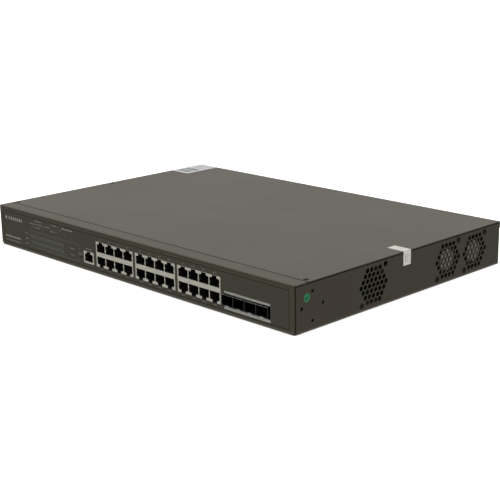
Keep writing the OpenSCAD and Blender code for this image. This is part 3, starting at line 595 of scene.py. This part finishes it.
def make_materials():
    """Every finish by name: one for each slot in the record, and some for single pieces and for printing."""
    return {
        "paint": powder_coat("powder_coat", BRONZE, 1.5, seam_shade),
        # Painted light: a copy of the powder coat tuned for the front wall
        "paint_front": powder_coat("powder_coat_front", FRONT_BRONZE, 1.42, front_shade),
        "bracket_zinc": rolled_metal("bracket_zinc", (0.62, 0.62, 0.60), 0.42, 900),
        "front_film": film(),
        # Painted shade inside the socket mouths
        "nickel_shield": rolled_metal("nickel_shield", NICKEL, 0.5, 1300, case_lo.y + 0.33 * MM, 0.5, 0.10),
        "black_housing": moulded("black_housing", (0.008, 0.008, 0.008)),
        "gold_contact": gold_plate(),
        # Painted shade: the cage is tinted dark and darkens further behind its mouth; a painted highlight
        # lies under its rim
        "cage_steel": rolled_metal("cage_steel", (0.09, 0.09, 0.085), 0.5, 1100, cage_lo.y, 0.6,
                                   rim=cage_hi.z),
        "gasket": gasket_strip(),
        "pin_steel": rolled_metal("pin_steel", (0.72, 0.71, 0.68), 0.35, 1100),
        "clear_plastic": moulded("clear_plastic", (0.13, 0.135, 0.125), 0.3, 1800, 0.1),
        "green_laminate": laminate("green_laminate", (0.010, 0.050, 0.022), (0.020, 0.085, 0.035)),
        "lamp_resin": moulded("lamp_resin", (0.74, 0.72, 0.56), 0.3, 1500, 0.1),
        "button_red": moulded("button_red", (0.34, 0.030, 0.022), 0.4),
        "chip_epoxy": chip_epoxy(),
        "heat_sink_aluminium": extruded_aluminium(),
        "capacitor_sleeve": shrink_sleeve(),
        "header_nylon": moulded("header_nylon", (0.78, 0.75, 0.62), 0.45),
        "tan_laminate": laminate("tan_laminate", (0.36, 0.24, 0.10), (0.44, 0.31, 0.14)),
        "insulator_sheet": moulded("insulator_sheet", (0.70, 0.70, 0.62), 0.35, 900, 0.1),
        "transformer_tape": wound("transformer_tape", (0.62, 0.44, 0.10), 90, "Z", 0.0),
        "copper_wire": wound("copper_wire", (0.60, 0.26, 0.10), 420, "DIAGONAL", 0.9),
        "lead_sleeve": sleeve_of_lead(),
        "fan_plastic": moulded("fan_plastic", (0.022, 0.022, 0.024), 0.42, 2000),
        "hub_label": printed_paper("hub_label", (0.37, 0.37, 0.355), 0.3),
        "screw_black": black_screw(),
        "earth_brass": brass(),
        # The seal's last tint is painted light on its folded-down part
        "seal_paper": printed_paper("seal_paper", (0.59, 0.58, 0.52), 0.15, (0.93, 0.91, 0.85)),
        "green_sticker": foil_sticker(),
        "label_paper": printed_paper("label_paper", (0.50, 0.50, 0.515), 0.2),
        "print_grey": ink("print_grey", (0.38, 0.38, 0.34)),
        "print_soft": ink("print_soft", (0.25, 0.25, 0.225)),
        "print_dim": ink("print_dim", (0.21, 0.21, 0.19)),
        "print_dark": ink("print_dark", (0.12, 0.12, 0.12)),
        "print_green": ink("print_green", (0.008, 0.045, 0.025)),
        "amber_lens": moulded("amber_lens", (0.24, 0.21, 0.11), 0.25, 1500, 0.1),
    }


# ------------------------------------------------------------------ pieces made of many small shapes

class Sheet:
    """Flat shapes printed on one plane, gathered into one mesh. across and up span the plane."""

    def __init__(self, origin, across, up):
        self.bm = bmesh.new()
        self.origin = Vector(origin)
        self.across = Vector(across)
        self.up = Vector(up)
        self.out = self.across.cross(self.up)

    def outline(self, points):
        """A solid patch of ink: points in millimetres on the plane, counter-clockwise."""
        face = self.bm.faces.new([self.bm.verts.new(self.place(x, y, 1)) for x, y in points])
        below = self.bm.faces.new([self.bm.verts.new(self.place(x, y, 0)) for x, y in reversed(points)])
        top, bottom = list(face.verts), list(reversed(below.verts))
        for i in range(len(points)):
            j = (i + 1) % len(points)
            self.bm.faces.new([bottom[i], bottom[j], top[j], top[i]])

    def place(self, x, y, level):
        return self.origin + (self.across * x + self.up * y) * MM + self.out * (INK_T * level)

    def bar(self, x, y, width, height):
        """A rectangle with its middle at x, y."""
        w, h = width / 2, height / 2
        self.outline([(x - w, y - h), (x + w, y - h), (x + w, y + h), (x - w, y + h)])

    def ring(self, x, y, radius, width, steps=24):
        for i in range(steps):
            a, b = (2 * math.pi * k / steps for k in (i, i + 1))
            inner, outer = radius - width / 2, radius + width / 2
            self.outline([(x + inner * math.cos(a), y + inner * math.sin(a)),
                          (x + outer * math.cos(a), y + outer * math.sin(a)),
                          (x + outer * math.cos(b), y + outer * math.sin(b)),
                          (x + inner * math.cos(b), y + inner * math.sin(b))])

    def line(self, start, end, width):
        """A straight stroke between two points."""
        a, b = Vector(start), Vector(end)
        side = (b - a).normalized() * (width / 2)
        normal = Vector((-side.y, side.x))
        self.outline([tuple(a - normal), tuple(b - normal), tuple(b + normal), tuple(a + normal)])

    def dashes(self, left, right, y, height, chooser):
        """A line of short bars, in place of words."""
        x = left
        while x < right - 0.3 * height:
            width = min(chooser.uniform(0.5, 1.5) * height, right - x)
            self.bar(x + width / 2, y, width, height * chooser.uniform(0.8, 1.0))
            x += width + 0.3 * height

    def number(self, text, x, y, size):
        """Digits, centred at x, y."""
        curve = bpy.data.curves.new("digits", "FONT")
        curve.body = text
        curve.size = size * MM
        curve.align_x = "CENTER"
        curve.align_y = "CENTER"
        curve.resolution_u = 3
        helper = bpy.data.objects.new("digits", curve)
        scene.collection.objects.link(helper)
        bpy.context.view_layer.update()
        flat = helper.to_mesh()
        turn = Matrix((self.across, self.up, self.out)).transposed().to_4x4()
        flat.transform(Matrix.Translation(self.place(x, y, 1)) @ turn)
        self.bm.from_mesh(flat)
        helper.to_mesh_clear()
        bpy.data.objects.remove(helper)
        bpy.data.curves.remove(curve)

    def piece(self, name, slot, material):
        """Turns what was printed into a piece that rides on the case."""
        mesh = bpy.data.meshes.new(name)
        self.bm.to_mesh(mesh)
        self.bm.free()
        mesh.materials.append(material)
        made = bpy.data.objects.new(name, mesh)
        scene.collection.objects.link(made)
        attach(made, "case")


def front_sheet():
    """Printing on the front film; x is millimetres from the left face of the case and y the height."""
    return Sheet((case_lo.x, film_lo.y, 0), (1, 0, 0), (0, 0, 1))


def port_columns():
    """X, in millimetres from the left face, of each column of sockets."""
    columns = []
    for name in BLOCKS:
        low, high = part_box(name)
        middle = (low.x + high.x) / 2 - case_lo.x
        columns += [(middle + (k - 1.5) * PORT_PITCH) / MM for k in range(4)]
    return columns


def print_port_numbers(sheet):
    """Odd numbers above each column and even ones below, each with a small arrow."""
    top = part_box(BLOCKS[0])[1].z / MM
    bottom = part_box(BLOCKS[0])[0].z / MM
    for k, u in enumerate(port_columns()):
        sheet.number(str(2 * k + 1), u + 0.9, top + 2.6, 1.9)
        sheet.outline([(u - 1.7, top + 2.0), (u - 0.5, top + 2.0), (u - 1.1, top + 3.1)])
        sheet.number(str(2 * k + 2), u + 0.9, bottom - 2.0, 1.9)
        sheet.outline([(u - 1.7, bottom - 1.5), (u - 1.1, bottom - 2.6), (u - 0.5, bottom - 1.5)])


def print_lamp_matrix(dim):
    """Numbers over and under the lamp windows, a stroke beside each window, and a rounded border."""
    left = FIRST_LAMP / MM
    pitch = LAMP_PITCH / MM
    for c in range(LAMP_COLUMNS):
        u = left + c * pitch
        dim.number(str(2 * c + 1), u, 22.6, 1.35)
        dim.number(str(2 * c + 2), u, 8.4, 1.35)
        for z in (12.2, 18.8):
            dim.bar(u + pitch / 2, z, 0.5, 5.4)
    rounded_border(dim, left - 3.2, 143.2, 7.2, 24.4, 2.6, 0.28)


def rounded_border(sheet, left, right, bottom, top, radius, width):
    """A thin line around a rectangle with rounded corners."""
    sheet.bar((left + right) / 2, bottom, right - left - 2 * radius, width)
    sheet.bar((left + right) / 2, top, right - left - 2 * radius, width)
    sheet.bar(left, (bottom + top) / 2, width, top - bottom - 2 * radius)
    sheet.bar(right, (bottom + top) / 2, width, top - bottom - 2 * radius)
    corners = [(right - radius, top - radius, 0), (left + radius, top - radius, 90),
               (left + radius, bottom + radius, 180), (right - radius, bottom + radius, 270)]
    for x, y, start in corners:
        for i in range(4):
            a, b = (math.radians(start + 22.5 * k) for k in (i, i + 1))
            sheet.line((x + radius * math.cos(a), y + radius * math.sin(a)),
                       (x + radius * math.cos(b), y + radius * math.sin(b)), width)


def print_emblem(sheet):
    """A plain generic sign: a diamond followed by slanted blocks."""
    x, y, half = 11.4, 31.7, 2.3
    sheet.outline([(x - half, y), (x, y - half), (x + half, y), (x, y + half)])
    for k in range(7):
        start = 16.0 + k * 3.8
        sheet.outline([(start, y - 1.6), (start + 2.2, y - 1.6),
                       (start + 2.7, y + 1.6), (start + 0.5, y + 1.6)])


def print_front(materials):
    """Everything on the front film, in three strengths of ink."""
    chooser = random.Random(4)
    bright = front_sheet()
    soft = front_sheet()
    dim = front_sheet()
    print_emblem(bright)
    print_port_numbers(bright)
    print_lamp_matrix(dim)
    # captions of the single lamps: left end, right end, height
    for left, right, height in [(55.3, 65.6, 32.3), (65.0, 77.7, 36.0), (67.0, 78.7, 32.7),
                                (65.5, 74.5, 29.3), (82.8, 92.4, 32.8), (96.5, 105.2, 36.4),
                                (93.0, 101.8, 29.8), (127.5, 135.0, 18.1), (127.5, 133.0, 11.7)]:
        soft.dashes(left, right, height, 1.2, chooser)
    bright.dashes(113.8, 131.5, 36.0, 1.2, chooser)
    # row names at the left of the lamp windows, and the captions of the reset hole and the console socket
    for left, right, height in [(46.5, 51.5, 20.4), (46.5, 51.5, 14.6), (46.5, 51.5, 9.1),
                                (141.0, 147.0, 15.2), (152.5, 163.5, 22.6)]:
        soft.dashes(left, right, height, 1.1, chooser)
    bright.dashes(8.0, 37.0, 11.3, 1.7, chooser)
    dim.dashes(9.0, 37.0, 7.2, 1.2, chooser)
    bright.piece("front_print", "front_film", materials["print_grey"])
    soft.piece("front_print_soft", "front_film", materials["print_soft"])
    dim.piece("front_print_dim", "front_film", materials["print_dim"])


def lens(bm, x, y, z, radius, rise):
    """A low dome that faces the front, with its rim at y."""
    rings, sides = 4, 20
    rows = []
    for i in range(rings):
        angle = math.pi / 2 * i / rings
        r, out = radius * math.cos(angle), rise * math.sin(angle)
        rows.append([bm.verts.new((x + r * math.cos(2 * math.pi * k / sides), y - out,
                                   z + r * math.sin(2 * math.pi * k / sides))) for k in range(sides)])
    tip = bm.verts.new((x, y - rise, z))
    for low, high in zip(rows, rows[1:]):
        for k in range(sides):
            m = (k + 1) % sides
            bm.faces.new([low[k], low[m], high[m], high[k]])
    for k in range(sides):
        bm.faces.new([rows[-1][k], rows[-1][(k + 1) % sides], tip])
    bm.faces.new(list(reversed(rows[0])))


def add_lenses(materials):
    """Domed lens on each single lamp; the power lamp's is amber."""
    clear = [(61.5, 29.4), (80.8, 36), (80.8, 32.6), (80.8, 29.3), (94.2, 36.3), (107.6, 36.2),
             (104.4, 29.9), (118.5, 29.8), (125.5, 19.2), (118.5, 10)]
    amber = (110.6, 33.1)
    groups = {"lamp_lenses": (clear, "clear_plastic"),
              "power_lamp_lens": ([amber], "amber_lens")}
    for name, (group, material) in groups.items():
        bm = bmesh.new()
        for u, z in group:
            lens(bm, from_left(u), film_lo.y, z * MM, 0.8 * MM, 0.09 * MM)
        mesh = bpy.data.meshes.new(name)
        bm.to_mesh(mesh)
        bm.free()
        mesh.materials.append(materials[material])
        mesh.shade_smooth()
        made = bpy.data.objects.new(name, mesh)
        scene.collection.objects.link(made)
        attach(made, "case")


def print_cover_label(materials):
    """Rows of dashes at the back and a block of dense stripes at the front of the label on the cover."""
    low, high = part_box("cover_label")
    chooser = random.Random(8)
    sheet = Sheet((low.x, low.y, high.z), (1, 0, 0), (0, 1, 0))
    width, depth = (high.x - low.x) / MM, (high.y - low.y) / MM
    for k in range(4):
        sheet.dashes(2.5, width - 3 - 5 * (k % 3), depth - 5 - 4.4 * k, 0.8, chooser)
    for low_edge, high_edge in ((5, 14), (16, 25)):
        x = 5
        while x < width - 5:
            stripe = chooser.choice([0.5, 0.7, 0.9])
            sheet.bar(x, (low_edge + high_edge) / 2, stripe, high_edge - low_edge)
            x += stripe + chooser.choice([0.3, 0.4, 0.5])
    sheet.piece("cover_label_print", "label_paper", materials["print_dark"])


def print_seal(materials):
    """Dots on the seal: one bold and two soft columns on the part that hangs down, two rows on the cover."""
    low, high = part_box("cover_seal")
    width, height = (high.y - low.y) / MM, (high.z - low.z) / MM
    bold = Sheet((high.x, low.y, low.z), (0, 1, 0), (0, 0, 1))
    for row in range(4):
        bold.bar(width * 0.32, height * 0.3 + 1.9 * row, 1.1, 1.2)
    soft = Sheet((high.x, low.y, low.z), (0, 1, 0), (0, 0, 1))
    for column in range(2):
        for row in range(5):
            soft.bar(width * (0.55 + 0.2 * column), height * 0.2 + 1.8 * row, 0.9, 0.8)
    flat = Sheet((low.x, low.y, high.z), (1, 0, 0), (0, 1, 0))
    for row in range(2):
        for dot in range(4):
            flat.bar(5 + 2.6 * dot, width * (0.35 + 0.3 * row), 1.2, 0.8)
    soft.piece("seal_print_soft", "seal_paper", materials["print_grey"])
    flat.piece("seal_cover_print", "seal_paper", materials["print_soft"])
    bold.piece("seal_print", "seal_paper", materials["print_dark"])


def print_sticker(materials):
    """A tick on the round green sticker."""
    low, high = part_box("inspection_sticker")
    sheet = Sheet((high.x, (low.y + high.y) / 2, (low.z + high.z) / 2), (0, 1, 0), (0, 0, 1))
    sheet.ring(0, 0, 3.0, 0.4)
    sheet.outline([(-2.1, 0.1), (-0.6, -2.2), (-0.2, -0.2), (-1.2, 1.1)])
    sheet.outline([(-0.6, -2.2), (2.2, 1.0), (1.2, 2.1), (-0.2, -0.2)])
    sheet.piece("sticker_print", "green_sticker", materials["print_green"])


def print_fan_labels(materials):
    """A ring and a few rows of dashes on each hub label."""
    low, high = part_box("fan_labels")
    radius = (high.z - low.z) / 2 / MM
    chooser = random.Random(6)
    sheet = Sheet((high.x, 0, (low.z + high.z) / 2), (0, 1, 0), (0, 0, 1))
    for middle in ((low.y / MM + radius), (high.y / MM - radius)):
        sheet.ring(middle, 0, radius - 1.2, 0.35, 36)
        for row in range(-2, 3):
            reach = 6.8 - 1.1 * abs(row)
            sheet.dashes(middle - reach, middle + reach, 2.5 * row, 1.1, chooser)
    sheet.piece("fan_label_print", "hub_label", materials["print_dark"])


def print_rear(materials):
    """The earth sign beside the earth screw."""
    low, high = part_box("earth_screw")
    x = -(low.x + high.x) / 2 / MM
    z = (low.z + high.z) / 2 / MM + 9.5
    sheet = Sheet((0, rear_face, 0), (-1, 0, 0), (0, 0, 1))
    sheet.ring(x, z, 3.1, 0.35)
    sheet.bar(x, z + 1.1, 0.4, 1.9)
    for k in range(3):
        sheet.bar(x, z - 0.9 * k, 3.4 - 1.1 * k, 0.4)
    sheet.piece("earth_sign", "paint", materials["print_grey"])


# ------------------------------------------------------------------ put together

def paint_cad_nodes(materials):
    """Gives every CAD node the material of the slot that the record names for it. A few pieces have a
    finish of their own: the front wall, the strips around the cage, the inlet's pins and the brackets."""
    # The brackets take the powder coat so that its painted seam shade darkens them
    own = {"front_wall": "paint_front", "sfp_gasket": "gasket", "inlet_pins": "pin_steel",
           "cover_brackets": "paint"}
    for name, made in nodes.items():
        for holder in made.material_slots:
            slot = holder.material.name.split(".")[0]
            holder.material = materials[own.get(name, slot)]


make_camera()
make_world()
make_softbox()
make_floor()
finishes = make_materials()
paint_cad_nodes(finishes)
print_front(finishes)
add_lenses(finishes)
print_cover_label(finishes)
print_seal(finishes)
print_sticker(finishes)
print_fan_labels(finishes)
print_rear(finishes)
scene.view_settings.view_transform = "Standard"
